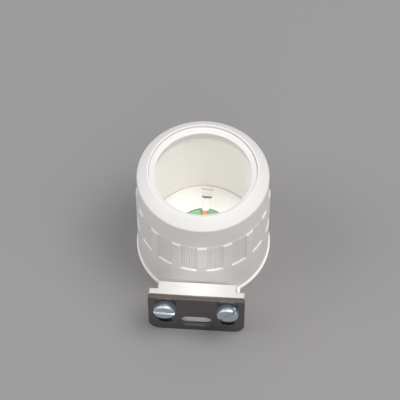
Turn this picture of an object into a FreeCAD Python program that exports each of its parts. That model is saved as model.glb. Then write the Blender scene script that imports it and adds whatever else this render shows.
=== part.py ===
import FreeCAD, Part
import math
import os

# Damp-proof G13 lamp holder for a 38 mm fluorescent tube: a deep pot closed by a knurled screw cap that
# squeezes a lip seal round the tube, and a flanged foot with a clamping plate for the edge of a sheet panel.
# Millimetres. +Z is the lamp axis, the mouth is up, the foot points to -Y, Z = 0 is the underside.

V = FreeCAD.Vector

# ---- driving dimensions -------------------------------------------------------------------------------
TUBE_R = 19.0            # T12 fluorescent tube, 38 mm across
PIN_PITCH = 12.7         # G13 cap pins, centre to centre
PIN_SLOT = 2.8           # slot that takes a 2.35 mm pin

MOVE_GAP = 0.3           # between parts that move past each other
TUBE_GAP = 0.1           # lip seal to lamp tube, radial
TUBE_ROOM = 3.2          # lamp tube to the wall of the pot
SCREW_GAP = 0.05         # screw thread to nut, radial
FIT_GAP = 0.1            # loose location of one moulding in another

# insert, stacked up from the floor of the pot
FLOOR_T = 1.6
PLATE_T = 1.4            # contact carrier plate
REST_H = 0.8             # rests on the carrier, under the rotor's flange
COLLAR_T = 1.5           # rotor flange under the face
FACE_T = 2.7
COLLAR_LOW_Z = FLOOR_T + PLATE_T + REST_H + FIT_GAP
COLLAR_TOP_Z = COLLAR_LOW_Z + COLLAR_T
FACE_Z = COLLAR_TOP_Z + MOVE_GAP + FACE_T        # seen floor of the pot
ROTOR_HOLE_R = 11.0
COLLAR_LIP = 1.2         # flange beyond the hole in the face
INSERT_SKIRT = 1.2       # wall of the skirt under the face
COLLAR_R = ROTOR_HOLE_R + COLLAR_LIP
POT_R = TUBE_R + TUBE_ROOM                       # inside
INSERT_R = POT_R - FIT_GAP
STRIP_T = 0.4            # bronze strip
STRIP_W = 4.8
TAIL_IN = 3.1            # rim of the insert to the ends of the contact tails
TAIL_W = 4.4
TAIL_Y = (2.0, 8.5)
CAGE_W = 3.8             # wire clamp
CAGE_IN = 0.4            # back from the end of its tail
CAGE_Y = (3.4, 8.4)
CAGE_T = 0.35
ENTRY_IN = 1.5           # rim of the insert to the lamp entry
ENTRY_L = 3.0
BAR_L = 1.5
INSERT_SCREW_IN = 6.6
INSERT_SCREW_XY = (INSERT_R - INSERT_SCREW_IN, -7.5)
INSERT_TURN_DEG = -1.5   # play of the insert in its pot

# housing pot
POT_WALL = 1.5
POT_TOP_Z = 45.6
BASE_T = 1.5

# screw cap
CAP_GAP = 1.05           # pot to cap bore, bridged by the two threads
CAP_WALL = 1.25          # bore to the plain band under the shoulder
PAD_PROUD = 0.65         # grip pads and skirt over the plain band
CAP_BORE_R = POT_R + POT_WALL + CAP_GAP
CAP_R = CAP_BORE_R + CAP_WALL
GRIP_R = CAP_R + PAD_PROUD
SHOULDER_H = 3.6
SHOULDER_T = 2.2         # wall of the shoulder, along Z
BAND_H = 11.6
BAND_TOP_Z = POT_TOP_Z + 3.4                     # lower edge of the shoulder
CAP_TOP_Z = BAND_TOP_Z + SHOULDER_H
BAND_LOW_Z = BAND_TOP_Z - BAND_H                 # upper ends of the grip pads
PAD_CHAMFER = 0.6
POCKET_LOW_Z = 20.75     # ledges under the ribbed pockets
POCKET_DEPTH = 0.85
PADS = 16
PAD_DEG = 8.0
PAD_START_DEG = 2.6      # first pad, from -Y towards +X
RIBS_PER_POCKET = 6
RIB_H = 0.4
RIB_W = 0.7
BASE_LIP = 0.6           # base flange beyond the skirt
BASE_R = GRIP_R + BASE_LIP

# cap thread, right hand
PITCH = 6.0
THREAD_TURNS = 1.5
THREAD_H = 0.75
THREAD_ROOT_W = 2.2
THREAD_CREST_W = 1.2
THREAD_DOWN = 11.6       # rim of the pot to the foot of its thread
THREAD_Z = POT_TOP_Z - THREAD_DOWN
FLANK_GAP = 0.25

# seal, slip ring and the mouth of the cap
COLLAR_WALL = 2.0        # lamp tube to the outside of the seal's collar
SEAL_COLLAR_R = TUBE_R + COLLAR_WALL
SEAL_FLANGE_T = 1.4
LIP_UP = 4.75            # rim of the pot to the top of the lip at its bore
SEAL_LIP_Z = POT_TOP_Z + LIP_UP
SEAL_LIP_T = 1.2
SEAL_TOP_Z = SEAL_LIP_Z + 1.05
MOUTH_GAP = 0.35         # seal collar to the mouth
MOUTH_RIM_W = 0.5        # flat rim between the mouth and the conical shoulder
CAP_MOUTH_R = SEAL_COLLAR_R + MOUTH_GAP
CAP_TOP_R = CAP_MOUTH_R + MOUTH_RIM_W

# foot, clamping plate and fasteners
FOOT_H = 23.6
FOOT_OUT = 6.6           # base flange to the back of the foot
NECK_T = 3.35
NECK_BACK_Y = -(BASE_R + FOOT_OUT)
NECK_FRONT_Y = NECK_BACK_Y - NECK_T
FLANGE_W = 37.4
FLANGE_T = 2.3
FLANGE_LIP = 2.05        # flange beyond the neck, each side
FLANGE_LOW_Z = 2.8
NECK_LOW_W = FLANGE_W - 2 * FLANGE_LIP
NECK_DRAFT = 1.2         # each side, over the height of the foot
NECK_TOP_W = NECK_LOW_W - 2 * NECK_DRAFT
WEB_W = 23.0
WEB_TOP_Z = 8.0
PLATE_LIP = 0.3          # plate beyond the flange, each side
PLATE_W = FLANGE_W + 2 * PLATE_LIP
PLATE_H = FOOT_H - FIT_GAP
CLAMP_T = 1.5
CLAMP_SLACK = 0.55       # plate to flange face
PLATE_CORNER_R = 5.0
SCREW_R = 2.5            # M5
SCREW_IN = 6.3           # side of the flange to a screw's axis
SCREW_X = FLANGE_W / 2 - SCREW_IN
SLOT_W = 2 * SCREW_R + MOVE_GAP
SLOT_LOW_Z = 5.0         # upright slots for the screws
SLOT_TOP_Z = FOOT_H - 3.2
SCREW_Z = SLOT_TOP_Z - SLOT_W / 2 - MOVE_GAP
WINDOW_W = 12.6          # lower window of the plate
WINDOW_Z = (3.2, 10.2)
HEAD_R = 4.25
HEAD_H = 3.3
DRIVE_W = 1.2
DRIVE_DEPTH = 1.6
DRIVE_DEG = {"left": -3.0, "right": 50.0}
SCREW_LEN = 10.0
BUSH_WALL = 0.5
BUSH_R = SCREW_R + BUSH_WALL                     # tapped brass bush moulded into the foot
BUSH_LEN = 2.6

# grommet in the floor, midway between the rotor and the insert's skirt and a little out
GROMMET_WALL = 0.9
GROMMET_ROOM = 0.7
RING_IN_R, RING_OUT_R = ROTOR_HOLE_R - MOVE_GAP, INSERT_R - INSERT_SKIRT
GROMMET_Y = -((RING_IN_R + RING_OUT_R) / 2 + 0.2)
GROMMET_FLANGE_R = (RING_OUT_R - RING_IN_R) / 2 - GROMMET_ROOM
GROMMET_NECK_R = GROMMET_FLANGE_R - GROMMET_WALL
GROMMET_BORE_R = GROMMET_NECK_R - GROMMET_WALL


# ---- helpers -------------------------------------------------------------------------------------------
def turned(points):
    """Solid of revolution about Z from (radius, z) points."""
    wire = Part.makePolygon([V(r, 0, z) for r, z in points] + [V(points[0][0], 0, points[0][1])])
    return Part.Face(wire).revolve(V(0, 0, 0), V(0, 0, 1), 360)


def disc(r, z0, z1, x=0.0, y=0.0):
    return Part.makeCylinder(r, z1 - z0, V(x, y, z0))


def ring(r0, r1, z0, z1, x=0.0, y=0.0):
    return disc(r1, z0, z1, x, y).cut(disc(r0, z0 - 1, z1 + 1, x, y))


def block(x0, x1, y0, y1, z0, z1):
    return Part.makeBox(x1 - x0, y1 - y0, z1 - z0, V(x0, y0, z0))


def plate_y(points, y0, y1):
    """Upright plate: an (x, z) outline run from y0 to y1."""
    wire = Part.makePolygon([V(x, y0, z) for x, z in points] + [V(points[0][0], y0, points[0][1])])
    return Part.Face(wire).extrude(V(0, y1 - y0, 0))


def plate_z(points, z0, z1):
    """Flat plate: an (x, y) outline run from z0 to z1."""
    wire = Part.makePolygon([V(x, y, z0) for x, y in points] + [V(points[0][0], points[0][1], z0)])
    return Part.Face(wire).extrude(V(0, 0, z1 - z0))


def spun(shape, deg):
    out = shape.copy()
    out.rotate(V(0, 0, 0), V(0, 0, 1), deg)
    return out


def mirrored_x(shape):
    return shape.mirror(V(0, 0, 0), V(1, 0, 0))


def rounded(shape, radius, picks):
    """Fillet the edges for which picks(edge centre, edge) holds."""
    edges = [e for e in shape.Edges if picks(e.CenterOfMass, e)]
    return shape.makeFillet(radius, edges)


def along(edge, axis):
    if len(edge.Vertexes) != 2:
        return False
    d = edge.Vertexes[1].Point.sub(edge.Vertexes[0].Point)
    return d.Length > 1e-6 and abs(abs(d.normalize().dot(axis)) - 1) < 1e-6


def obround_y(x, z0, z1, width, corner, y0, y1):
    """Upright slot cutter through a plate in the XZ plane."""
    body = block(x - width / 2, x + width / 2, y0, y1, z0, z1)
    return rounded(body, corner, lambda c, e: along(e, V(0, 1, 0)))


def thread_ridge(root_r, crest_r, z0):
    """One helical ridge of trapezoid section, right hand, starting at +X."""
    dz0, dz1 = THREAD_ROOT_W / 2, THREAD_CREST_W / 2
    sunk = 0.2 if root_r > crest_r else -0.2          # root reaches into the wall that carries it
    root_r, dz0 = root_r + sunk, dz0 + 0.2 * (dz0 - dz1) / THREAD_H
    path = Part.Wire(Part.makeHelix(PITCH, PITCH * THREAD_TURNS, root_r).Edges)
    section = Part.makePolygon([V(root_r, 0, -dz0), V(crest_r, 0, -dz1), V(crest_r, 0, dz1),
                                V(root_r, 0, dz0), V(root_r, 0, -dz0)])
    ridge = path.makePipeShell([section], True, True)
    ridge.translate(V(0, 0, z0))
    return ridge


# ---- housing ---------------------------------------------------------------------------------------------
def make_pot():
    out = POT_R + POT_WALL
    return turned([(0, 0), (BASE_R - 0.3, 0), (BASE_R, 0.3), (BASE_R, BASE_T), (out, BASE_T),
                  (out, POT_TOP_Z - 0.4), (out - 0.4, POT_TOP_Z), (POT_R + 0.3, POT_TOP_Z),
                  (POT_R, POT_TOP_Z - 0.3), (POT_R, FLOOR_T), (0, FLOOR_T)])


def make_foot():
    bottom, top = NECK_LOW_W / 2, NECK_TOP_W / 2
    outline = [(-bottom, 0), (bottom, 0), (top, FOOT_H), (-top, FOOT_H)]
    neck = plate_y(outline, NECK_FRONT_Y, NECK_BACK_Y)
    neck = rounded(neck, 0.8, lambda c, e: c.z > FOOT_H - 0.01 and along(e, V(0, 1, 0)))
    face_y = NECK_FRONT_Y - FLANGE_T
    flange = block(-FLANGE_W / 2, FLANGE_W / 2, face_y, NECK_FRONT_Y, FLANGE_LOW_Z, FOOT_H)
    flange = rounded(flange, 0.5, lambda c, e: along(e, V(0, 1, 0)))
    # toe joins the foot to the base flange; the web behind it stops clear of the turning skirt
    toe = block(-bottom + 0.3, bottom - 0.3, NECK_BACK_Y, 0, 0, BASE_T)
    web = block(-WEB_W / 2, WEB_W / 2, NECK_BACK_Y, -CAP_BORE_R, 0, WEB_TOP_Z)
    web = web.cut(disc(GRIP_R + 2 * MOVE_GAP, BASE_T, WEB_TOP_Z + 1))
    foot = neck.multiFuse([flange, toe, web])
    neck_t = NECK_BACK_Y - NECK_FRONT_Y
    for x in (-SCREW_X, SCREW_X):
        slot = obround_y(x, SLOT_LOW_Z - 1.4, SLOT_TOP_Z, SLOT_W, 1.8, face_y - 1, NECK_BACK_Y - BUSH_LEN)
        seat = Part.makeCylinder(BUSH_R, neck_t + 1, V(x, NECK_BACK_Y - BUSH_LEN, SCREW_Z), V(0, 1, 0))
        foot = foot.cut(slot).cut(seat)
    # the middle of the neck is cored out from behind, so its wall stays even
    half = SCREW_X - BUSH_R - 3.0
    return foot.cut(block(-half, half, NECK_FRONT_Y + 0.9, NECK_BACK_Y + 1, WEB_TOP_Z + 1.2, FOOT_H - 1.6))


def make_housing():
    housing = make_pot().fuse(make_foot()).removeSplitter()
    seat = disc(GROMMET_NECK_R, -1, FLOOR_T + 1, 0, GROMMET_Y)
    housing = housing.cut(seat).cut(disc(GROMMET_FLANGE_R + FIT_GAP, -1, 0.5, 0, GROMMET_Y))
    out = POT_R + POT_WALL
    return housing.fuse(thread_ridge(out, out + THREAD_H, THREAD_Z))


# ---- screw cap --------------------------------------------------------------------------------------------
def inner_cone_z(r):
    """Underside of the shoulder."""
    slope = (CAP_TOP_Z - BAND_TOP_Z) / (CAP_R - CAP_TOP_R)
    return BAND_TOP_Z + (CAP_R - r) * slope - SHOULDER_T


def pocket_cutter():
    width = 360.0 / PADS - PAD_DEG
    sector = ring(GRIP_R - POCKET_DEPTH, GRIP_R + 2, POCKET_LOW_Z, BAND_LOW_Z + 1)
    far = 60.0
    half = math.radians(width / 2)
    wedge = plate_z([(0, 0), (far * math.cos(half), -far * math.sin(half)),
                     (far * math.cos(half), far * math.sin(half))], POCKET_LOW_Z - 1, BAND_LOW_Z + 2)
    cutter = sector.common(wedge)
    step = width / (RIBS_PER_POCKET + 0.5)
    root = GRIP_R - POCKET_DEPTH - 0.2
    rib = plate_z([(root, -RIB_W / 2), (root + RIB_H + 0.2, -RIB_W / 5), (root + RIB_H + 0.2, RIB_W / 5),
                   (root, RIB_W / 2)], POCKET_LOW_Z - 1, BAND_LOW_Z + 2)
    ribs = [spun(rib, (i - (RIBS_PER_POCKET - 1) / 2) * step) for i in range(RIBS_PER_POCKET)]
    return cutter.cut(Part.makeCompound(ribs))


def make_screw_cap():
    low_z = BASE_T + MOVE_GAP
    cap = turned([(CAP_BORE_R, low_z + 0.5), (CAP_BORE_R + 0.5, low_z), (GRIP_R - 0.3, low_z),
                  (GRIP_R, low_z + 0.3), (GRIP_R, BAND_LOW_Z - PAD_CHAMFER), (CAP_R, BAND_LOW_Z), (CAP_R, BAND_TOP_Z),
                  (CAP_TOP_R + 0.15, CAP_TOP_Z - 0.1), (CAP_TOP_R, CAP_TOP_Z), (CAP_MOUTH_R + 0.2, CAP_TOP_Z),
                  (CAP_MOUTH_R, CAP_TOP_Z - 0.2), (CAP_MOUTH_R, inner_cone_z(CAP_MOUTH_R)),
                  (CAP_BORE_R, inner_cone_z(CAP_BORE_R))])
    pitch_deg = 360.0 / PADS
    first = -90 + PAD_START_DEG + pitch_deg / 2
    cutter = pocket_cutter()
    cap = cap.cut(Part.makeCompound([spun(cutter, first + i * pitch_deg) for i in range(PADS)]))
    # the cap's ridge bears up under the housing's, so their flanks lie FLANK_GAP apart
    flank = (THREAD_ROOT_W - THREAD_CREST_W) / 2 / THREAD_H
    drop = THREAD_ROOT_W - flank * (CAP_BORE_R - POT_R - POT_WALL) + FLANK_GAP
    return cap.fuse(thread_ridge(CAP_BORE_R, CAP_BORE_R - THREAD_H, THREAD_Z - drop))


# ---- seal and slip ring -----------------------------------------------------------------------------------
def make_lamp_seal():
    lip_r = TUBE_R + TUBE_GAP
    low = SEAL_LIP_Z - SEAL_LIP_T
    flange_z = POT_TOP_Z + SEAL_FLANGE_T
    skirt_r = SEAL_COLLAR_R - 1.1
    return turned([(skirt_r, POT_TOP_Z), (POT_R + POT_WALL, POT_TOP_Z), (POT_R + POT_WALL, flange_z),
                   (SEAL_COLLAR_R, flange_z), (SEAL_COLLAR_R, SEAL_TOP_Z - 0.25),
                   (SEAL_COLLAR_R - 0.25, SEAL_TOP_Z), (SEAL_COLLAR_R - 0.6, SEAL_TOP_Z - 0.15),
                   (lip_r + 0.15, SEAL_LIP_Z + 0.1), (lip_r, SEAL_LIP_Z), (lip_r, low + 0.3),
                   (lip_r + 0.2, low), (skirt_r, low - 0.5)])


def make_slip_ring():
    r0, r1 = SEAL_COLLAR_R + MOVE_GAP, CAP_BORE_R - MOVE_GAP
    z0 = POT_TOP_Z + SEAL_FLANGE_T
    return turned([(r0, z0), (r1, z0), (r1, inner_cone_z(r1) - FIT_GAP),
                   (r0 + 0.3, inner_cone_z(r0 + 0.3) - FIT_GAP), (r0, inner_cone_z(r0 + 0.3) - FIT_GAP)])


# ---- insert ------------------------------------------------------------------------------------------------
def make_insert_face():
    r = INSERT_R
    under = FACE_Z - FACE_T
    face = disc(r, under, FACE_Z).fuse(ring(r - INSERT_SKIRT, r, FLOOR_T, under))
    face = face.cut(disc(ROTOR_HOLE_R, 0, FACE_Z + 1))
    face = rounded(face, 0.35, lambda c, e: abs(c.z - FACE_Z) < 1e-6 and e.BoundBox.XLength > 2 * r - 1)
    entry = r - ENTRY_IN
    bar_y = entry - ENTRY_L
    trough = plate_z([(-2.0, bar_y), (2.0, bar_y), (2.5, entry), (-2.5, entry)], FACE_Z - 1.1, FACE_Z + 1)
    bar = block(-2.0, 2.0, bar_y - BAR_L, bar_y, FACE_Z - 3.0, FACE_Z + 1)
    x, y0, y1 = PIN_SLOT / 2 - 0.05, ROTOR_HOLE_R - 1, bar_y - BAR_L + 0.1
    side = [V(-x, y1, FACE_Z + 1), V(-x, y1, FACE_Z - 0.4), V(-x, y0, FACE_Z - 2.2), V(-x, y0, FACE_Z + 1)]
    ramp = Part.Face(Part.makePolygon(side + [side[0]])).extrude(V(2 * x, 0, 0))
    face = face.cut(trough).cut(bar).cut(ramp)
    x, y = INSERT_SCREW_XY
    for sx in (-x, x):
        face = face.cut(disc(1.7, 0, FACE_Z + 1, sx, y)).cut(disc(3.0, FACE_Z - 0.9, FACE_Z + 1, sx, y))
    return face


def make_contact_carrier():
    r = INSERT_R - INSERT_SKIRT - FIT_GAP
    top = FLOOR_T + PLATE_T
    plate = ring(ROTOR_HOLE_R + MOVE_GAP, r, FLOOR_T, top)
    rest = ring(ROTOR_HOLE_R + MOVE_GAP, COLLAR_R + 1.2, top, top + REST_H)
    rest = rest.cut(block(-r, r, -3.2, 3.2, 0, 10)).cut(block(-3.6, 3.6, 0, r, 0, 10))
    x, y = INSERT_SCREW_XY
    posts = [disc(2.7, FLOOR_T, FACE_Z - FACE_T, sx, y) for sx in (-x, x)]
    carrier = plate.multiFuse([rest] + posts)
    for sx in (-x, x):
        carrier = carrier.cut(disc(1.3, FLOOR_T + 0.8, FACE_Z, sx, y))
    carrier = carrier.cut(disc(GROMMET_FLANGE_R + 0.8, 0, FACE_Z, 0, GROMMET_Y))
    return carrier


def make_rotor():
    r = ROTOR_HOLE_R - MOVE_GAP
    rotor = disc(r, FLOOR_T + MOVE_GAP, FACE_Z - 0.15).fuse(ring(r - 1, COLLAR_R, COLLAR_LOW_Z, COLLAR_TOP_Z))
    rotor = rounded(rotor, 0.4, lambda c, e: abs(c.z - FACE_Z + 0.15) < 1e-6)
    slot = block(-PIN_SLOT / 2, PIN_SLOT / 2, -COLLAR_R - 1, COLLAR_R + 1, FLOOR_T + 1.1, FACE_Z + 1)
    rotor = rotor.cut(slot)
    # shallow dish each side of the slot, and the arrow-shaped lead-ins at its ends
    for sx in (-1, 1):
        rotor = rotor.cut(disc(3.4, FACE_Z - 0.75, FACE_Z + 1, sx * 5.6, 0))
        for sy in (-1, 1):
            lead = plate_z([(sx * PIN_SLOT / 2, sy * (r + 1)), (sx * (PIN_SLOT / 2 + 1.1), sy * (r + 1)),
                            (sx * PIN_SLOT / 2, sy * (r - 2.6))], FACE_Z - 1.6, FACE_Z + 1)
            rotor = rotor.cut(lead)
    return rotor


def make_rotor_contact(sign):
    """Bronze clip in one end of the rotor slot: a floor strip with its outer end turned up."""
    half = PIN_SLOT / 2 - FIT_GAP
    z0 = FLOOR_T + 1.1
    end = ROTOR_HOLE_R - MOVE_GAP - 0.2
    floor = block(-half, half, PIN_PITCH / 2 - 2.6, end, z0, z0 + STRIP_T)
    leaf = block(-half, half, end - STRIP_T, end, z0, FACE_Z - 1.3)
    clip = floor.fuse(leaf)
    return clip if sign > 0 else spun(clip, 180)


def make_fixed_contact():
    """Bronze strip on the +X side: a tab by the rotor, a tail under the wire clamp."""
    top = FLOOR_T + PLATE_T
    r_tab = ROTOR_HOLE_R + 0.05
    half = STRIP_W / 2
    end = INSERT_R - TAIL_IN
    tab = block(r_tab, r_tab + STRIP_T, -half, half, top, COLLAR_LOW_Z - MOVE_GAP)
    tab = tab.cut(disc(ROTOR_HOLE_R - MOVE_GAP + 0.2, 0, 10))
    strip = block(r_tab, end, -half, half, top, top + STRIP_T)
    tail = block(end - TAIL_W, end, TAIL_Y[0], TAIL_Y[1], top, top + STRIP_T)
    return tab.multiFuse([strip, tail]).removeSplitter()


def make_terminal_clamp():
    """Stainless push-in cage on the tail of the +X contact."""
    z0 = FLOOR_T + PLATE_T + STRIP_T
    x1 = INSERT_R - TAIL_IN - CAGE_IN
    x0 = x1 - CAGE_W
    y0, y1 = CAGE_Y
    z1 = FACE_Z - FACE_T - MOVE_GAP
    t = CAGE_T
    cage = block(x0, x1, y0, y1, z0, z1).cut(block(x0 + t, x1 - t, y0 - 1, y1 + 1, z0 + t, z1 - t))
    leaf = plate_z([(x0 + t / 2, y0 + 0.3), (x0 + 2 * t, y0 + 0.3), (x1 - t - 0.4, y1 - 0.6),
                    (x1 - t - 0.8, y1 - 0.6), (x0 + t / 2, y0 + 1.2)], z0 + t + 0.2, z1 - t - 0.2)
    return cage.fuse(leaf)


def make_insert_screw():
    """Self-tapping pan head screw, +X side."""
    x, y = INSERT_SCREW_XY
    seat = FACE_Z - 0.9
    shank = disc(1.25, FLOOR_T + 1.0, seat, x, y)
    head = rounded(disc(2.7, seat, seat + 1.5, x, y), 0.7, lambda c, e: c.z > seat + 1.4)
    arm = block(x - 1.7, x + 1.7, y - 0.3, y + 0.3, seat + 0.6, seat + 2)
    cross = arm.copy()
    cross.rotate(V(x, y, 0), V(0, 0, 1), 90)
    return head.fuse(shank).cut(arm).cut(cross)


def make_cable_grommet():
    profile = [(GROMMET_BORE_R, 0.1), (GROMMET_FLANGE_R, 0.1), (GROMMET_FLANGE_R, 0.5),
               (GROMMET_NECK_R - FIT_GAP, 0.5), (GROMMET_NECK_R - FIT_GAP, FLOOR_T), (GROMMET_FLANGE_R, FLOOR_T),
               (GROMMET_FLANGE_R, FLOOR_T + 0.6), (GROMMET_FLANGE_R - 0.5, FLOOR_T + 0.9),
               (GROMMET_BORE_R, FLOOR_T + 0.9)]
    grommet = turned(profile)
    grommet.translate(V(0, GROMMET_Y, 0))
    return grommet


# ---- clamp ---------------------------------------------------------------------------------------------------
def plate_front_y():
    return NECK_FRONT_Y - FLANGE_T - CLAMP_SLACK - CLAMP_T


def make_clamping_plate():
    y0 = plate_front_y()
    y1 = y0 + CLAMP_T
    plate = block(-PLATE_W / 2, PLATE_W / 2, y0, y1, 0, PLATE_H)
    plate = rounded(plate, PLATE_CORNER_R, lambda c, e: c.z < 0.01 + PLATE_H / 2 and along(e, V(0, 1, 0)))
    plate = rounded(plate, 0.6, lambda c, e: c.z > PLATE_H - 0.01 and along(e, V(0, 1, 0)))
    for x in (-SCREW_X, SCREW_X):
        plate = plate.cut(obround_y(x, SLOT_LOW_Z, SLOT_TOP_Z, SLOT_W, 1.8, y0 - 1, y1 + 1))
    half = WINDOW_W / 2
    window = obround_y(0, WINDOW_Z[0], WINDOW_Z[1], 2 * half, 3.2, y0 - 1, y1 + 1)
    return plate.cut(window)


def make_clamp_screw(side):
    """M5 cheese head screw, head towards -Y."""
    x = -SCREW_X if side == "left" else SCREW_X
    seat = plate_front_y()
    out = V(0, -1, 0)
    head = Part.makeCylinder(HEAD_R, HEAD_H, V(x, seat, SCREW_Z), out)
    head = rounded(head, 0.7, lambda c, e: abs(c.y - seat + HEAD_H) < 1e-6)
    shank = Part.makeCylinder(SCREW_R, SCREW_LEN - 0.6, V(x, seat, SCREW_Z), V(0, 1, 0))
    tip = Part.makeCone(SCREW_R, SCREW_R - 0.6, 0.6, V(x, seat + SCREW_LEN - 0.6, SCREW_Z), V(0, 1, 0))
    drive = block(x - HEAD_R - 1, x + HEAD_R + 1, seat - HEAD_H - 1, seat - HEAD_H + DRIVE_DEPTH,
                  SCREW_Z - DRIVE_W / 2, SCREW_Z + DRIVE_W / 2)
    drive.rotate(V(x, seat, SCREW_Z), out, DRIVE_DEG[side])
    return head.multiFuse([shank, tip]).cut(drive)


def make_thread_bush(side):
    """Tapped M5 bush, flush with the back of the foot."""
    x = -SCREW_X if side == "left" else SCREW_X
    y0 = NECK_BACK_Y - BUSH_LEN
    bush = Part.makeCylinder(BUSH_R, BUSH_LEN, V(x, y0, SCREW_Z), V(0, 1, 0))
    return bush.cut(Part.makeCylinder(SCREW_R + SCREW_GAP, BUSH_LEN + 2, V(x, y0 - 1, SCREW_Z), V(0, 1, 0)))


def main():
    contact, clamp, screw = make_fixed_contact(), make_terminal_clamp(), make_insert_screw()
    parts = {
        "housing": make_housing(),
        "screw_cap": make_screw_cap(),
        "slip_ring": make_slip_ring(),
        "lamp_seal": make_lamp_seal(),
        "insert_face": make_insert_face(),
        "contact_carrier": make_contact_carrier(),
        "rotor": make_rotor(),
        "rotor_contact_rear": make_rotor_contact(1),
        "rotor_contact_front": make_rotor_contact(-1),
        "fixed_contact_right": contact,
        "fixed_contact_left": mirrored_x(contact),
        "terminal_clamp_right": clamp,
        "terminal_clamp_left": mirrored_x(clamp),
        "insert_screw_right": screw,
        "insert_screw_left": mirrored_x(screw),
        "cable_grommet": make_cable_grommet(),
        "clamping_plate": make_clamping_plate(),
        "clamp_screw_left": make_clamp_screw("left"),
        "clamp_screw_right": make_clamp_screw("right"),
        "thread_bush_left": make_thread_bush("left"),
        "thread_bush_right": make_thread_bush("right"),
    }
    for node in ("insert_face", "contact_carrier", "fixed_contact_right", "fixed_contact_left",
                 "terminal_clamp_right", "terminal_clamp_left", "insert_screw_right", "insert_screw_left"):
        parts[node] = spun(parts[node], INSERT_TURN_DEG)
    for node, shape in parts.items():
        box = shape.BoundBox
        print(node, "valid" if shape.isValid() else "INVALID", "solids", len(shape.Solids),
              "size %.1f x %.1f x %.1f" % (box.XLength, box.YLength, box.ZLength))
        shape.exportStep("parts/" + node + ".step")


main()
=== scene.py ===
# %% [markdown]
# # A damp-proof lamp holder, dressed in Blender
# The object is a pot for the end of a 38 mm fluorescent tube. A knurled cap screws down over the pot and
# squeezes a soft lip seal round the glass. A slotted rotor in the floor takes the tube's two pins, and a
# flanged foot with a dark clamping plate grips the edge of a metal panel. The engineering model is already
# packed, so the first step loads it as a fixed frame. The lamp axis is Z, the mouth is up, the foot points
# to -Y, and every piece that is made here is in metres in that same frame.

# %% load the frame
import bpy
import math
import numpy as np
from mathutils import Matrix, Vector


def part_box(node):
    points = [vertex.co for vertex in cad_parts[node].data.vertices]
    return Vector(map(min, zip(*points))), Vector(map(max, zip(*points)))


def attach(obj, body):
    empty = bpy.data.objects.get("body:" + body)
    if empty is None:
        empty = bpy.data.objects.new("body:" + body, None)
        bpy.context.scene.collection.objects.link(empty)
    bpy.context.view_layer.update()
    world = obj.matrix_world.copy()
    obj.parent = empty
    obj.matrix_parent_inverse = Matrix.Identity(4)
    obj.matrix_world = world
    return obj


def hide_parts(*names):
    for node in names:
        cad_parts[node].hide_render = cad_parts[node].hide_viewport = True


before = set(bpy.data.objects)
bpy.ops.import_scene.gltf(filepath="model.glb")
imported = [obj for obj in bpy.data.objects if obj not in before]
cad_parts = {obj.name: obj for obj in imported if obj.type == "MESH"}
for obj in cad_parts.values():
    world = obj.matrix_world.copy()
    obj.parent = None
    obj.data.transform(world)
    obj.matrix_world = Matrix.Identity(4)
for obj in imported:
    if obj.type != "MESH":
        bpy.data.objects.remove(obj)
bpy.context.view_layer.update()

# %% [markdown]
# ## Where the pieces sit
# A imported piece's box says where it is and how big it is. It could be copied by hand, but then a new piece
# would drift away when the engineering model changes, so the boxes are read from the frame. Drawings of
# small parts are in millimetres, so the boxes are too, to the hundredth that such parts are drawn to.

# %% boxes in millimetres
MM = 0.001


def box_mm(node):
    """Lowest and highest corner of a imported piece, as millimetres rounded to a hundredth."""
    return [[round(v / MM, 2) for v in corner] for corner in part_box(node)]


print("screw cap from", box_mm("screw_cap")[0], "to", box_mm("screw_cap")[1], "mm")

# %% [markdown]
# ## Colours and nodes
# A maker picks a colour as a hex value on a screen, but the renderer works in linear light, so one function
# turns the first into the second. A second small function adds a shader node with its settings and its
# links, which keeps each finish short enough to read in one go.

# %% helpers for every finish


def hex_to_linear(code):
    """sRGB hex text to linear RGBA: below 0.04045 divide by 12.92, above it the 2.4 power curve."""
    channels = [int(code[i:i + 2], 16) / 255 for i in (1, 3, 5)]
    return [c / 12.92 if c <= 0.04045 else ((c + 0.055) / 1.055) ** 2.4 for c in channels] + [1.0]


def add_node(tree, kind, inputs=None, **settings):
    """One shader node. A value in inputs that is a socket is linked, anything else is typed in."""
    node = tree.nodes.new(kind)
    for name, value in settings.items():
        setattr(node, name, value)
    for name, value in (inputs or {}).items():
        if isinstance(value, bpy.types.NodeSocket):
            tree.links.new(value, node.inputs[name])
        else:
            node.inputs[name].default_value = value
    return node


def new_material(name):
    """An empty node material, its node tree and its output node."""
    material = bpy.data.materials.new(name)
    material.use_nodes = True
    tree = material.node_tree
    tree.nodes.clear()
    return material, tree, add_node(tree, "ShaderNodeOutputMaterial")


print("a middle grey of #808080 is", round(hex_to_linear("#808080")[0], 3), "of white in linear light")

# %% [markdown]
# ## One recipe for worked skins
# Moulded plastic and plated sheet differ in what they are made of, but both show the eye the same three
# things: broad patches that are a shade darker and glossier, a fine grain that barely lifts the surface, and
# edges that are never quite sharp. They could be painted on as pictures, but a picture has to be wrapped
# round each piece and blurs close up. Here each is worked out from the place on the piece in millimetres. A
# last option brings in another colour along one axis: on the plate it is the sheared edge's own colour, and
# on the pot's foot it is a painted shade.

# %% the recipe


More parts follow.
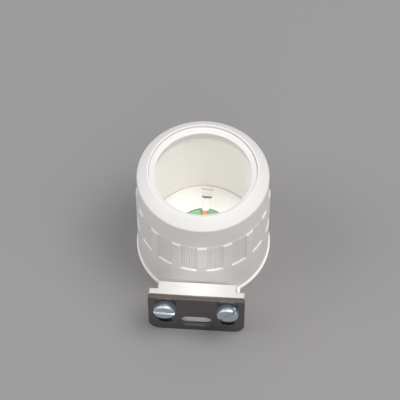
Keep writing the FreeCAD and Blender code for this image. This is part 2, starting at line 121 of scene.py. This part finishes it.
def worked_skin(name, colours, roughness, spread, patch, grain, depth_mm, arris_mm, end=None, **shader):
    """A finish from two noises in object space. patch and grain are (size in mm, detail).

    The patch noise mixes the two colours and moves the roughness by spread either way, and the grain noise
    times its depth is the height that bends the normal. The arris is the radius that the light meets on an
    edge. end is (axis, start in mm, full in mm, colour), a colour that comes in along one axis.
    """
    material, tree, out = new_material(name)
    place = add_node(tree, "ShaderNodeTexCoord").outputs["Object"]
    patches, grains = [
        add_node(tree, "ShaderNodeTexNoise", {"Vector": place, "Scale": 1 / (size * MM), "Detail": detail})
        for size, detail in (patch, grain)]
    hue = add_node(tree, "ShaderNodeMix", {"Factor": patches.outputs["Fac"], "A": hex_to_linear(colours[0]),
                                           "B": hex_to_linear(colours[1])}, data_type="RGBA")
    # the noise seldom leaves the range from 0.3 to 0.7
    polish = add_node(tree, "ShaderNodeMapRange", {
        "Value": patches.outputs["Fac"], "From Min": 0.3, "From Max": 0.7,
        "To Min": roughness - spread, "To Max": roughness + spread})
    bump = add_node(tree, "ShaderNodeBump", {"Height": grains.outputs["Fac"], "Strength": 1.0,
                                             "Distance": depth_mm * MM})
    if arris_mm:
        arris = add_node(tree, "ShaderNodeBevel", {"Radius": arris_mm * MM}, samples=6)
        tree.links.new(arris.outputs["Normal"], bump.inputs["Normal"])
    if end:
        axis, start, full, colour = end
        along = add_node(tree, "ShaderNodeSeparateXYZ", {"Vector": place}).outputs[axis]
        share = add_node(tree, "ShaderNodeMapRange", {"Value": along, "From Min": start * MM,
                                                      "From Max": full * MM})
        hue = add_node(tree, "ShaderNodeMix", {"Factor": share.outputs["Result"], "A": hue.outputs["Result"],
                                               "B": hex_to_linear(colour)}, data_type="RGBA")
    skin = add_node(tree, "ShaderNodeBsdfPrincipled", {
        "Base Color": hue.outputs["Result"], "Roughness": polish.outputs["Result"],
        "Normal": bump.outputs["Normal"], **shader})
    tree.links.new(skin.outputs["BSDF"], out.inputs["Surface"])
    print("finish", name, "roughness", roughness)
    return material

# %% [markdown]
# ## Moulded polycarbonate and its relatives
# The cap, the pot and the insert are injection moulded. The steel of the mould was spark eroded and lightly
# polished, so the skin is satin, and the melt leaves broad patches where it flowed. Real erosion grain is
# about 0.05 mm, too fine to show from here, so it is drawn at 0.35 mm. The plastics share one refractive
# index, in the middle of their range from acetal's 1.48 to polycarbonate's 1.58, and only the silicone's is
# lower.

# %% moulded plastic
FLOW_PATCH, EROSION_GRAIN, GRAIN_DEPTH_MM = (14.0, 3.0), (0.35, 2.0), 0.004
# where the painted shade on the foot starts and where it is full, in mm along Y
FOOT_SHADE_START_Y, FOOT_SHADE_FULL_Y = -28.0, -33.0


def moulded_plastic(name, colours, roughness, ior=1.53, arris_mm=0.25, end=None):
    """The recipe with the patches of a melt and the grain of an eroded mould."""
    return worked_skin(name, colours, roughness, 0.04, FLOW_PATCH, EROSION_GRAIN, GRAIN_DEPTH_MM, arris_mm,
                       end, IOR=ior)


# satin white that soft light rolls over; its rounded edges are modelled, so it needs no arris
cap_white = moulded_plastic("white_polycarbonate_moulded", ("#E4E1DF", "#E0DDDA"), 0.42, arris_mm=0)
# warmer and glossier; the foot stands in the full light, and a painted shade of darker colour holds it back
pot_ivory = moulded_plastic("ivory_polycarbonate_moulded", ("#FDF9F6", "#FBF7F3"), 0.38,
                            end=("Y", FOOT_SHADE_START_Y, FOOT_SHADE_FULL_Y, "#C8C6C2"))
# a clean white that fills the well with light
insert_white = moulded_plastic("white_pbt_moulded", ("#F6F4F1", "#F4F2EE"), 0.34)
# a pale green with the shine of a pressed resin
rotor_green = moulded_plastic("green_urea_moulded", ("#8FC495", "#86BC8B"), 0.30)
# dull grey, as glass fibre near the skin leaves it
carrier_grey = moulded_plastic("grey_nylon_moulded", ("#6A6A68", "#62625F"), 0.5)
# milky and waxy, from the lathe
ring_acetal = moulded_plastic("natural_acetal_turned", ("#DEDCD6", "#D6D4CE"), 0.4)
# soft and matt, with little shine on its modelled edges
seal_silicone = moulded_plastic("white_silicone_rubber_moulded", ("#E3E0DD", "#DFDCD8"), 0.5, ior=1.41,
                                arris_mm=0)
# nearly black and matt
grommet_rubber = moulded_plastic("black_rubber_moulded", ("#242424", "#1E1E1E"), 0.6)

# %% [markdown]
# ## Metals
# The plate and the screws are steel with a zinc skin, the contacts are strip from a rolling mill and the
# bushes come from the lathe. A metal's colour is in its reflection, so its Metallic is 1 and its index stays
# as it is. Plating grows in crystals of about 0.02 mm, drawn here at 0.15 mm so that they show, and it
# mottles over a millimetre or two. The recipe of the plastics serves again, with other sizes.

# %% plated and rolled metal
CRYSTAL_GRAIN, CRYSTAL_DEPTH_MM = (0.15, 1.0), 0.002
SHEARED_LOW, SHEARED_BLEND = box_mm("clamping_plate")[1][2] - 0.09, 0.02


def plated_metal(name, colours, roughness, mottle_mm=1.2, arris_mm=0.12, end=None):
    """The recipe with the mottle and the crystals of a plated or rolled skin."""
    return worked_skin(name, colours, roughness, 0.03, (mottle_mm, 4.0), CRYSTAL_GRAIN, CRYSTAL_DEPTH_MM,
                       arris_mm, end, Metallic=1.0)


# mirrors the room darkly, and its plating is thin and brownish on the sheared upper edge
plate_black = plated_metal("black_zinc_plated_sheet", ("#7A7779", "#737072"), 0.2, arris_mm=0.2,
                           end=("Z", SHEARED_LOW, SHEARED_LOW + SHEARED_BLEND, "#8F837A"))
# passivated to a cold blue, which blurs the soft boxes into broad lights
screw_zinc = plated_metal("blue_zinc_plated_steel", ("#D6E1E7", "#CEDBE2"), 0.42, mottle_mm=2.0, arris_mm=0)
# orange pink with a dull shine
contact_bronze = plated_metal("phosphor_bronze_strip", ("#F4CDB8", "#ECC2AA"), 0.42)
# bright yellow from the lathe
brass_turned = plated_metal("turned_brass", ("#D6B36A", "#CCA85E"), 0.25)
# neutral and bright from the rolls
spring_stainless = plated_metal("stainless_spring_strip", ("#C8C8C8", "#BEBEBE"), 0.22)

# %% [markdown]
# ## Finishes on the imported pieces
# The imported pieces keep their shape, and only their material changes. The four that are replaced further
# down get one too, so that nothing is left without a finish.

# %% one finish for each node
finish_of = {
    "screw_cap": cap_white, "slip_ring": ring_acetal, "lamp_seal": seal_silicone,
    "housing": pot_ivory, "insert_face": insert_white, "contact_carrier": carrier_grey,
    "cable_grommet": grommet_rubber, "rotor": rotor_green,
    "rotor_contact_front": contact_bronze, "rotor_contact_rear": contact_bronze,
    "clamping_plate": plate_black,
}
for side in ("_left", "_right"):
    finish_of.update({
        "fixed_contact" + side: contact_bronze, "terminal_clamp" + side: spring_stainless,
        "thread_bush" + side: brass_turned, "insert_screw" + side: screw_zinc,
        "clamp_screw" + side: screw_zinc})

for node, material in finish_of.items():
    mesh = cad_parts[node].data
    mesh.materials.clear()
    mesh.materials.append(material)
print("finished nodes", len(finish_of), "of", len(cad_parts))

# %% [markdown]
# ## Surfaces from grids of points
# Everything new here is a grid of points in millimetres, worked out with numpy all at once. A turned part is
# an outline of radius and height carried round the lamp axis. Blender's Spin would do it too, but on a grid
# the radius can also depend on the angle, which gives pads, ribs and threads. Real mouldings have no knife
# edges, so each corner of an outline has its own fillet, a short curve from one edge to the next.

# %% from points to a piece


def surface(name, points, quads, material, body, node):
    """One closed mesh from points in millimetres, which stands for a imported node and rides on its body.

    The sum over all quads of a.(b x c) + a.(c x d) is six times the volume. Where it is negative, the quads
    face inwards and are turned round.
    """
    points = np.asarray(points, np.float64).reshape(-1, 3) * MM
    a, b, c, d = (points[quads[:, i]] for i in range(4))
    volume = np.einsum("ij,ij->", a, np.cross(b, c)) + np.einsum("ij,ij->", a, np.cross(c, d))
    if volume < 0:
        quads = quads[:, ::-1]
    mesh = bpy.data.meshes.new(name)
    mesh.vertices.add(len(points))
    mesh.vertices.foreach_set("co", points.astype(np.float32).ravel())
    mesh.loops.add(quads.size)
    mesh.loops.foreach_set("vertex_index", np.ascontiguousarray(quads, np.int32).ravel())
    mesh.polygons.add(len(quads))
    mesh.polygons.foreach_set("loop_start", np.arange(len(quads), dtype=np.int32) * 4)
    mesh.polygons.foreach_set("use_smooth", np.ones(len(quads), bool))
    mesh.update(calc_edges=True)
    mesh.materials.append(material)
    piece = bpy.data.objects.new(name, mesh)
    bpy.context.scene.collection.objects.link(piece)
    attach(piece, body)
    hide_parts(node)
    print(name, "points", len(points), "triangles", 2 * len(quads))
    return piece


def ring_quads(rows, columns, first=0):
    """Quads of a grid that closes on itself both ways: each point, the next column's, and the next row's."""
    here = np.arange(rows * columns).reshape(rows, columns) + first
    right = np.roll(here, -1, axis=1)
    corners = [here, right, np.roll(right, -1, axis=0), np.roll(here, -1, axis=0)]
    return np.stack(corners, axis=-1).reshape(-1, 4)

# %% outlines and fillets


def filleted(corners, steps=5):
    """Closed outline from (radius, height, fillet) corners.

    A fillet starts and ends where a circle of its radius would touch the two edges, its radius over the
    tangent of half the corner's angle away, and at most 0.48 of an edge. Between them it is the quadratic
    curve (1-t)(1-t) start + 2t(1-t) corner + t t end.
    """
    corners = np.array(corners, float)
    points = corners[:, :2]
    back, ahead = np.roll(points, 1, axis=0) - points, np.roll(points, -1, axis=0) - points
    line = []
    for point, fillet, one, two in zip(points, corners[:, 2], back, ahead):
        if fillet == 0:
            line.append(point[None])
            continue
        long_one, long_two = np.hypot(*one), np.hypot(*two)
        half = math.acos(np.clip(one @ two / long_one / long_two, -1, 1)) / 2
        reach = min(fillet / math.tan(half), 0.48 * long_one, 0.48 * long_two)
        start, end = point + one / long_one * reach, point + two / long_two * reach
        t = np.linspace(0, 1, steps)[:, None]
        line.append((1 - t) ** 2 * start + 2 * t * (1 - t) * point + t ** 2 * end)
    return np.concatenate(line)


def level_rows(radius, heights):
    """Plain outline points of one radius at the given heights."""
    return [(radius, height, 0) for height in heights]


def carried_round(radius, height, columns):
    """Points radius cos(turn), radius sin(turn), height. radius may be (rows, 1) or (rows, columns)."""
    turn = np.arange(columns) * (2 * math.pi / columns)
    radius = np.broadcast_to(radius, (len(height), columns))
    height = np.broadcast_to(height, radius.shape)
    return np.stack([radius * np.cos(turn), radius * np.sin(turn), height], axis=-1)


def smooth_step(low, high, value):
    """0 below low, 1 above high, and 3tt - 2ttt between them, with t the share of the way."""
    t = np.clip((value - low) / (high - low), 0, 1)
    return t * t * (3 - 2 * t)


square = filleted([(1, 0, 0.1), (2, 0, 0.1), (2, 1, 0.1), (1, 1, 0.1)])
print("a square outline with four fillets has", len(square), "points")

# %% [markdown]
# ## The screw cap
# Sixteen pads stand round the skirt so that fingers can turn it. Between them lie sixteen shallow pockets,
# and each pocket has six fine upright ribs. The ledges at a pocket's two ends catch the light. Inside, one
# and a half turns of a coarse thread run round the bore. The cap could be turned and its pockets cut with
# booleans, but those leave long thin triangles that shade badly. Here the cap is one grid, and pockets, ribs
# and thread only make the radius smaller where they are.

# %% the cap's sizes
CAP_LOW, CAP_TOP = [corner[2] for corner in box_mm("screw_cap")]
GRIP_R, CAP_R, CAP_BORE_R, RIM_R, MOUTH_R = 26.65, 26.0, 24.75, 21.85, 21.35
SKIRT_TOP, BAND_LOW, BAND_TOP = 36.8, 37.4, 49.0
MOUTH_LOW, BORE_TOP, LEAD_IN = 50.83, 47.88, 0.5
PADS, PAD_DEG, FIRST_PAD_DEG = 16, 8.0, 2.6
PITCH_DEG = 360 / PADS
# the first pad's middle is FIRST_PAD_DEG past -Y, the foot's side, and half a pitch on is a pocket's middle
POCKET_MIDDLE_DEG = FIRST_PAD_DEG - 90 + PITCH_DEG / 2
POCKET_FLOOR_R, POCKET_LOW, POCKET_TOP = 25.98, 20.75, 38.25
# each wall of a pocket slopes between these two places, in mm from where the wall nominally is
SIDE_WALL, LOW_LEDGE, TOP_LEDGE = (-0.15, 0.4), (-0.2, 0.35), (-0.2, 0.2)
# a rib's height, half its width at the foot, and the width of its flank
RIBS, RIB_H, RIB_HALF, RIB_FLANK = 6, 0.26, 0.42, 0.34
THREAD_H, THREAD_Z, THREAD_PITCH, THREAD_TURNS = 0.75, 32.25, 6.0, 1.5
# half widths of the thread's ridge in mm, and the angle in radians over which each end fades
THREAD_ROOT, THREAD_CREST, THREAD_RUN_OUT = 1.1, 0.6, 0.25
CAP_COLUMNS = 1056
print("a pocket is", PITCH_DEG - PAD_DEG, "degrees wide and", round(GRIP_R - POCKET_FLOOR_R, 2), "mm deep")

# %% the cap's outline


def cap_outline():
    """Outside up from the foot, over the shoulder into the mouth, and down the bore.

    Where a pocket begins and ends the rows lie 0.1 mm apart, and down the bore 0.6 mm, for the thread.
    """
    skirt = [*(POCKET_LOW + np.array([-1.15, *np.linspace(-0.3, 0.4, 8), 0.85])), 29.0, SKIRT_TOP - 0.8]
    band = POCKET_TOP + np.array([-0.3, *np.linspace(-0.15, 0.25, 5), 0.55])
    return filleted(
        [(CAP_BORE_R + LEAD_IN, CAP_LOW, 0.12), (GRIP_R, CAP_LOW, 0.45)]
        + level_rows(GRIP_R, skirt) + [(GRIP_R, SKIRT_TOP, 0.4), (CAP_R, BAND_LOW, 0.4)]
        + level_rows(CAP_R, band) + [(CAP_R, BAND_TOP, 1.1), (RIM_R, CAP_TOP, 0.3), (MOUTH_R, CAP_TOP, 0.2)]
        + [(MOUTH_R, MOUTH_LOW, 0.1), (CAP_BORE_R, BORE_TOP, 0.2)]
        + level_rows(CAP_BORE_R, np.arange(44.0, 30.6, -0.6)) + [(CAP_BORE_R, CAP_LOW + LEAD_IN, 0.1)])


print("the cap's outline has", len(cap_outline()), "points")

# %% pockets with ribs


def pocket_depth(radius, height, turn_deg):
    """How far the outside sinks: down to the pocket's floor, less a rib's height where a rib stands.

    A place's angle from the middle of its pocket, times the floor's radius, is its distance in mm. The side
    walls and the two ends are smooth steps of that distance and of the height.
    """
    mm_per_deg = POCKET_FLOOR_R * math.pi / 180
    half = (PITCH_DEG - PAD_DEG) / 2
    off = (turn_deg - POCKET_MIDDLE_DEG + PITCH_DEG / 2) % PITCH_DEG - PITCH_DEG / 2
    inside = smooth_step(*SIDE_WALL, (half - np.abs(off)) * mm_per_deg)
    inside = inside * smooth_step(*LOW_LEDGE, height - POCKET_LOW)
    inside = inside * (1 - smooth_step(*TOP_LEDGE, height - POCKET_TOP))
    step = 2 * half / (RIBS + 0.5)
    off_rib = np.abs(off / step % 1 - 0.5) * step * mm_per_deg
    rib = RIB_H * smooth_step(0, 1, (RIB_HALF - off_rib) / RIB_FLANK) * (np.abs(off) < RIBS / 2 * step)
    return inside * np.maximum(radius - POCKET_FLOOR_R - rib, 0)


floor_depth = float(pocket_depth(GRIP_R, 30.0, POCKET_MIDDLE_DEG))
print("between two ribs a pocket sinks", round(floor_depth, 2), "mm")

# %% thread in the bore


def thread_depth(height, turn):
    """A helical ridge in the bore. It is full within its crest's half width and gone outside its root's.

    The ridge's middle climbs one pitch a turn from +X, and the ridge fades in and out at its two ends.
    """
    share = np.zeros(np.broadcast(height, turn).shape)
    for lap in range(math.ceil(THREAD_TURNS)):
        angle = turn + 2 * math.pi * lap
        off_middle = np.abs(height - THREAD_Z - THREAD_PITCH * angle / (2 * math.pi))
        flank = np.clip((THREAD_ROOT - off_middle) / (THREAD_ROOT - THREAD_CREST), 0, 1)
        fade_in = smooth_step(0, THREAD_RUN_OUT, angle)
        fade_out = smooth_step(0, THREAD_RUN_OUT, 2 * math.pi * THREAD_TURNS - angle)
        share = np.maximum(share, flank * fade_in * fade_out)
    return THREAD_H * share


print("half a turn up, the thread stands", float(thread_depth(THREAD_Z + THREAD_PITCH / 2, math.pi)), "mm")

# %% screw cap


def make_screw_cap():
    """The outline carried round, its radius made smaller by the pockets outside and the thread inside."""
    outline = cap_outline()
    radius, height = outline[:, :1], outline[:, 1:]
    turn_deg = np.arange(CAP_COLUMNS)[None] * (360 / CAP_COLUMNS)
    outside = radius > CAP_BORE_R + LEAD_IN + 0.05
    in_bore = np.abs(radius - CAP_BORE_R) < 0.01
    pockets = np.where(outside, pocket_depth(radius, height, turn_deg), 0)
    thread = np.where(in_bore, thread_depth(height, np.radians(turn_deg)), 0)
    points = carried_round(radius - pockets - thread, height, CAP_COLUMNS)
    return surface("screw_cap_moulding", points, ring_quads(*points.shape[:2]), cap_white, "cap",
                   "screw_cap")


make_screw_cap()

# %% [markdown]
# ## The lip seal
# The seal is one soft ring of silicone: a flange pinched between the pot and the slip ring, a skirt inside
# it, a collar that stands up in the mouth of the cap with a small bead at its top, and a sloping lip whose
# bore is a shade wider than the 38 mm tube. Nothing on it changes round the axis, so a plain outline does.

# %% lip seal
SEAL_LOW = box_mm("lamp_seal")[0][2]
SEAL_R, SEAL_SKIRT_R, COLLAR_R, BEAD_R, LIP_R = 23.7, 19.9, 21.0, 21.31, 19.1
# heights over the flange's underside
FLANGE_TOP, COLLAR_TOP, BEAD_LOW, BEAD_TOP = 1.4, 5.1, 5.4, 5.95
LIP_OUTER_TOP, LIP_TOP, LIP_LOW, LIP_UNDERCUT, SEAL_SKIRT_TOP = 5.8, 4.75, 3.85, 3.55, 3.05
SEAL_COLUMNS = 256
print("the collar stands", round(SEAL_LOW + COLLAR_TOP, 2), "mm over the table")


def make_lamp_seal():
    """The seal's outline, with heights over its flange, carried round."""
    flange = [(SEAL_SKIRT_R, 0.0, 0.15), (SEAL_R, 0.0, 0.2), (SEAL_R, FLANGE_TOP, 0.2)]
    collar = [(COLLAR_R, FLANGE_TOP, 0.2), (COLLAR_R, COLLAR_TOP, 0.2)]
    bead = [(BEAD_R, BEAD_LOW, 0.1), (BEAD_R, BEAD_TOP, 0.22)]
    lip = [(LIP_R + 1.4, LIP_OUTER_TOP, 0.3), (LIP_R, LIP_TOP, 0.15), (LIP_R, LIP_LOW, 0.15)]
    underside = [(LIP_R + 0.2, LIP_UNDERCUT, 0.1), (SEAL_SKIRT_R, SEAL_SKIRT_TOP, 0.3)]
    outline = filleted(flange + collar + bead + lip + underside, steps=6)
    points = carried_round(outline[:, :1], SEAL_LOW + outline[:, 1:], SEAL_COLUMNS)
    return surface("lamp_seal_moulding", points, ring_quads(*points.shape[:2]), seal_silicone, "pot",
                   "lamp_seal")


make_lamp_seal()

# %% [markdown]
# ## The clamp screws
# Two M5 cheese head screws draw the plate to the foot. A head could be a turned disc with its driver slot
# cut out, but on a turned grid the rows cross the slot at every angle and its walls come out ragged. So the
# disc is laid out in straight chords that run along the slot, crowded where its walls and the rim are. The
# shank carries a real thread of 0.8 mm pitch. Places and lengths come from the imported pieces' boxes.

# %% the screws' sizes
SEAT_Y = box_mm("clamping_plate")[0][1]
HEAD_ROUND, SLOT_W, SLOT_DEPTH, SLOT_BREAK = 0.7, 1.2, 1.6, 0.06
SHANK_R, SHANK_PITCH, SHANK_TOOTH, SHANK_TIP = 2.5, 0.8, 0.42, 0.6
HEAD_CHORDS, SHANK_ROWS, SHANK_COLUMNS = 44, 130, 40
# the driver left each slot at its own angle, in degrees from level
DRIVEN_TO = {"left": -3.0, "right": 50.0}
print("the heads sit at Y", SEAT_Y, "mm")

# %% screw head


def edge_dense(count):
    """Places from -1 to 1 that crowd towards both ends, as the cosine of evenly spaced angles."""
    return -np.cos(np.linspace(0.02, math.pi - 0.02, count))


def screw_head(head_r, head_h):
    """Head as (across the slot, along it, height over the seat), and its quads.

    Its height falls off at the rim by a quarter circle, and drops to the slot's floor between its walls. A
    narrow strip beside each wall is a little lower, where the cutter broke the edge. The same grid laid flat
    is the seat, and a strip of quads joins their rims.
    """
    slot = SLOT_W / 2 / head_r
    # chords on the slot's floor, on both sides of its wall, and past the broken edge
    cuts = np.array([0, 0.5, 0.9, 0.98, 1.04, 1.12]) * slot
    clear = [chord for chord in edge_dense(HEAD_CHORDS) if abs(chord) > 1.2 * slot]
    across = np.unique(np.concatenate([-cuts, cuts, clear]))
    along = edge_dense(HEAD_CHORDS)
    x = np.broadcast_to(head_r * across[:, None], (len(across), len(along)))
    y = head_r * along[None] * np.sqrt(1 - across[:, None] ** 2)
    past_flat = np.maximum(np.hypot(x, y) - (head_r - HEAD_ROUND), 0)
    high = head_h - HEAD_ROUND + np.sqrt(np.maximum(HEAD_ROUND ** 2 - past_flat ** 2, 0))
    high = high - SLOT_BREAK * (np.abs(x) < 1.06 * SLOT_W / 2)
    high = np.where(np.abs(x) < SLOT_W / 2, head_h - SLOT_DEPTH, high)
    top, seat = np.stack([x, y, high], -1), np.stack([x, y, 0 * high], -1)
    index = np.arange(x.size).reshape(x.shape)
    flat = np.stack([index[:-1, :-1], index[1:, :-1], index[1:, 1:], index[:-1, 1:]], -1).reshape(-1, 4)
    rim = np.concatenate([index[:-1, 0], index[-1, :-1], index[:0:-1, -1], index[0, :0:-1]])
    next_on_rim = np.roll(rim, -1)
    wall = np.stack([rim + x.size, next_on_rim + x.size, next_on_rim, rim], -1)
    points = np.concatenate([top.reshape(-1, 3), seat.reshape(-1, 3)])
    return points, np.concatenate([flat, flat[:, ::-1] + x.size, wall])

# %% screw shank


def screw_shank(length, first):
    """Threaded shank in the same directions, sunk a little into the head.

    The radius is the shank's less a triangle wave of the height over the pitch, less the share of a turn,
    which makes one tooth climb a pitch a turn. It narrows over the tip and closes to a point at both ends.
    """
    height = np.linspace(0.4, -length, SHANK_ROWS)[:, None]
    turn = np.arange(SHANK_COLUMNS)[None] * (2 * math.pi / SHANK_COLUMNS)
    wave = np.abs((height / SHANK_PITCH - turn / (2 * math.pi)) % 1 - 0.5) * 2
    tip = np.clip((height + length) / SHANK_TIP, 0, 1)
    radius = SHANK_R - SHANK_TIP + SHANK_TIP * tip - SHANK_TOOTH * wave * (height < -0.3)
    point = np.full((1, SHANK_COLUMNS), 0.02)
    radius = np.concatenate([point, radius, point])
    height = np.concatenate([height[:1], height, height[-1:]])
    points = carried_round(radius, height, SHANK_COLUMNS)
    return points.reshape(-1, 3), ring_quads(*points.shape[:2], first=first)

# %% clamp screws


def make_clamp_screw(side):
    """Head and shank laid down so that their height points to -Y, and turned to the driver's last angle."""
    low, high = box_mm("clamp_screw_" + side)
    middle_x, middle_z = (low[0] + high[0]) / 2, (low[2] + high[2]) / 2
    head, head_quads = screw_head((high[0] - low[0]) / 2, SEAT_Y - low[1])
    shank, shank_quads = screw_shank(high[1] - SEAT_Y, first=len(head))
    across, along, out = np.concatenate([head, shank]).T
    angle = math.radians(DRIVEN_TO[side])
    x = middle_x + along * math.cos(angle) - across * math.sin(angle)
    z = middle_z + along * math.sin(angle) + across * math.cos(angle)
    return surface("clamp_screw_%s_plated" % side, np.stack([x, SEAT_Y - out, z], -1),
                   np.concatenate([head_quads, shank_quads]), screw_zinc, side + "_screw",
                   "clamp_screw_" + side)


for side in DRIVEN_TO:
    make_clamp_screw(side)

# %% [markdown]
# ## The table top
# The part stands on a plain matt grey board. White plastic on a white board would lose its outline, and
# the grey also takes a soft shadow that shows how the part stands.

# %% table top
BOARD_COLOUR, BOARD_HALF = "#8F8D8C", 3.0


def table_top():
    """One square face at height 0, with its sides twice BOARD_HALF."""
    mesh = bpy.data.meshes.new("table_top")
    corners = [(-BOARD_HALF, -BOARD_HALF, 0), (BOARD_HALF, -BOARD_HALF, 0), (BOARD_HALF, BOARD_HALF, 0),
               (-BOARD_HALF, BOARD_HALF, 0)]
    mesh.from_pydata(corners, [], [(0, 1, 2, 3)])
    board = bpy.data.objects.new("table_top", mesh)
    bpy.context.scene.collection.objects.link(board)
    material, tree, out = new_material("grey_matt_board")
    skin = add_node(tree, "ShaderNodeBsdfPrincipled", {
        "Base Color": hex_to_linear(BOARD_COLOUR), "Roughness": 0.8, "Specular IOR Level": 0.2})
    tree.links.new(skin.outputs["BSDF"], out.inputs["Surface"])
    mesh.materials.append(material)
    print("table top", 2 * BOARD_HALF, "m square")


table_top()

# %% [markdown]
# ## Light
# White plastic shows its form only where the light on it changes, so four soft boxes of unlike strength
# stand round the part and a pale room fills the rest. The well is deep, and soft light hardly reaches its
# floor. Stronger soft boxes would wash out the cap, so a snoot, a lamp behind a narrow tube, sends a thin
# cone down the axis, and two more lean on the inner walls. The last one stands in for the light that a
# bright panel throws back on the skirt above the foot.

# %% lamps


def hang_lamp(name, lamp, position, aim):
    """Puts a lamp at position in metres. A lamp shines along its -Z, so its +Z points away from aim."""
    holder = bpy.data.objects.new(name, lamp)
    away = Vector(position) - Vector(aim)
    holder.matrix_world = Matrix.Translation(position) @ away.to_track_quat("Z", "Y").to_matrix().to_4x4()
    bpy.context.scene.collection.objects.link(holder)
    print("lamp", name, "at", position, round(lamp.energy, 2), "W")


def soft_box(name, position, size, power):
    """A square lamp of the given side in metres that faces the middle of the part."""
    lamp = bpy.data.lights.new(name, "AREA")
    lamp.shape, lamp.size, lamp.energy = "SQUARE", size, power
    hang_lamp(name, lamp, position, (0, 0, 0.025))


def snoot(name, position, aim, cone_deg, power, lamp_radius):
    """A spot lamp with a narrow cone whose edge fades over half of it."""
    lamp = bpy.data.lights.new(name, "SPOT")
    lamp.energy, lamp.spot_size, lamp.spot_blend = power, math.radians(cone_deg), 0.5
    lamp.shadow_soft_size = lamp_radius
    hang_lamp(name, lamp, position, aim)


soft_box("right_soft_box", (0.75, -0.25, 1.0), 0.9, 3.2)
soft_box("top_soft_box", (0.5, 0.0, 1.2), 0.6, 6.2)
soft_box("front_soft_box", (0.2, -1.0, 0.8), 0.8, 2.1)
soft_box("left_soft_box", (-0.9, -0.1, 0.9), 0.8, 4.8)
snoot("mouth_snoot", (0.0, 0.0, 0.6), (0, 0, 0.05), 3.3, 4.0, 0.01)
snoot("back_wall_snoot", (0.0, -0.25, 0.58), (0, 0, 0.051), 3.3, 3.9, 0.005)
snoot("right_wall_snoot", (-0.25, 0.0, 0.58), (0, 0, 0.051), 3.3, 4.1, 0.005)
snoot("skirt_snoot", (0.04, -0.44, 0.62), (0, -0.028, 0.012), 1.9, 16.0, 0.01)

# %% pale room
ROOM_TINT, ROOM_STRENGTH = (0.95, 0.97, 1.0, 1.0), 0.56

world = bpy.data.worlds.new("pale_room")
world.use_nodes = True
room = world.node_tree.nodes["Background"]
room.inputs["Color"].default_value = ROOM_TINT
room.inputs["Strength"].default_value = ROOM_STRENGTH
bpy.context.scene.world = world
print("room strength", ROOM_STRENGTH)

# %% [markdown]
# ## Camera
# A short lens close by would make the mouth loom over the base. A long lens from 0.8 m away keeps their
# ellipses nearly alike. It looks down at the mouth from the foot's side, with a slight roll.

# %% camera
VIEW_AZIMUTH, VIEW_ELEVATION, VIEW_ROLL = [math.radians(angle) for angle in (4.166, 57.08, 0.42)]
LENS_MM, SENSOR_MM = 180.5, 36.0
# in metres: the height on the axis that it looks at, from how far, and a small shift across the view
AIM, DISTANCE = Vector((0, 0, 0.029)), 0.8
MOVED_RIGHT, MOVED_UP = -0.001242, 0.001312


def long_lens_camera():
    """The three axes are built one by one, then right and up are turned by the roll round the line of sight.
    """
    back = Vector((math.sin(VIEW_AZIMUTH) * math.cos(VIEW_ELEVATION),
                   -math.cos(VIEW_AZIMUTH) * math.cos(VIEW_ELEVATION), math.sin(VIEW_ELEVATION)))
    right = Vector((math.cos(VIEW_AZIMUTH), math.sin(VIEW_AZIMUTH), 0))
    up = back.cross(right)
    place = AIM + right * MOVED_RIGHT + up * MOVED_UP + back * DISTANCE
    c, s = math.cos(VIEW_ROLL), math.sin(VIEW_ROLL)
    axes = Matrix((right * c - up * s, right * s + up * c, back)).transposed().to_4x4()
    camera = bpy.data.cameras.new("long_lens")
    camera.lens, camera.sensor_width, camera.clip_start = LENS_MM, SENSOR_MM, 0.01
    holder = bpy.data.objects.new("long_lens", camera)
    holder.matrix_world = Matrix.Translation(place) @ axes
    bpy.context.scene.collection.objects.link(holder)
    bpy.context.scene.camera = holder
    print("camera at", [round(v, 3) for v in place])


long_lens_camera()
bpy.context.scene.view_settings.view_transform = "Standard"
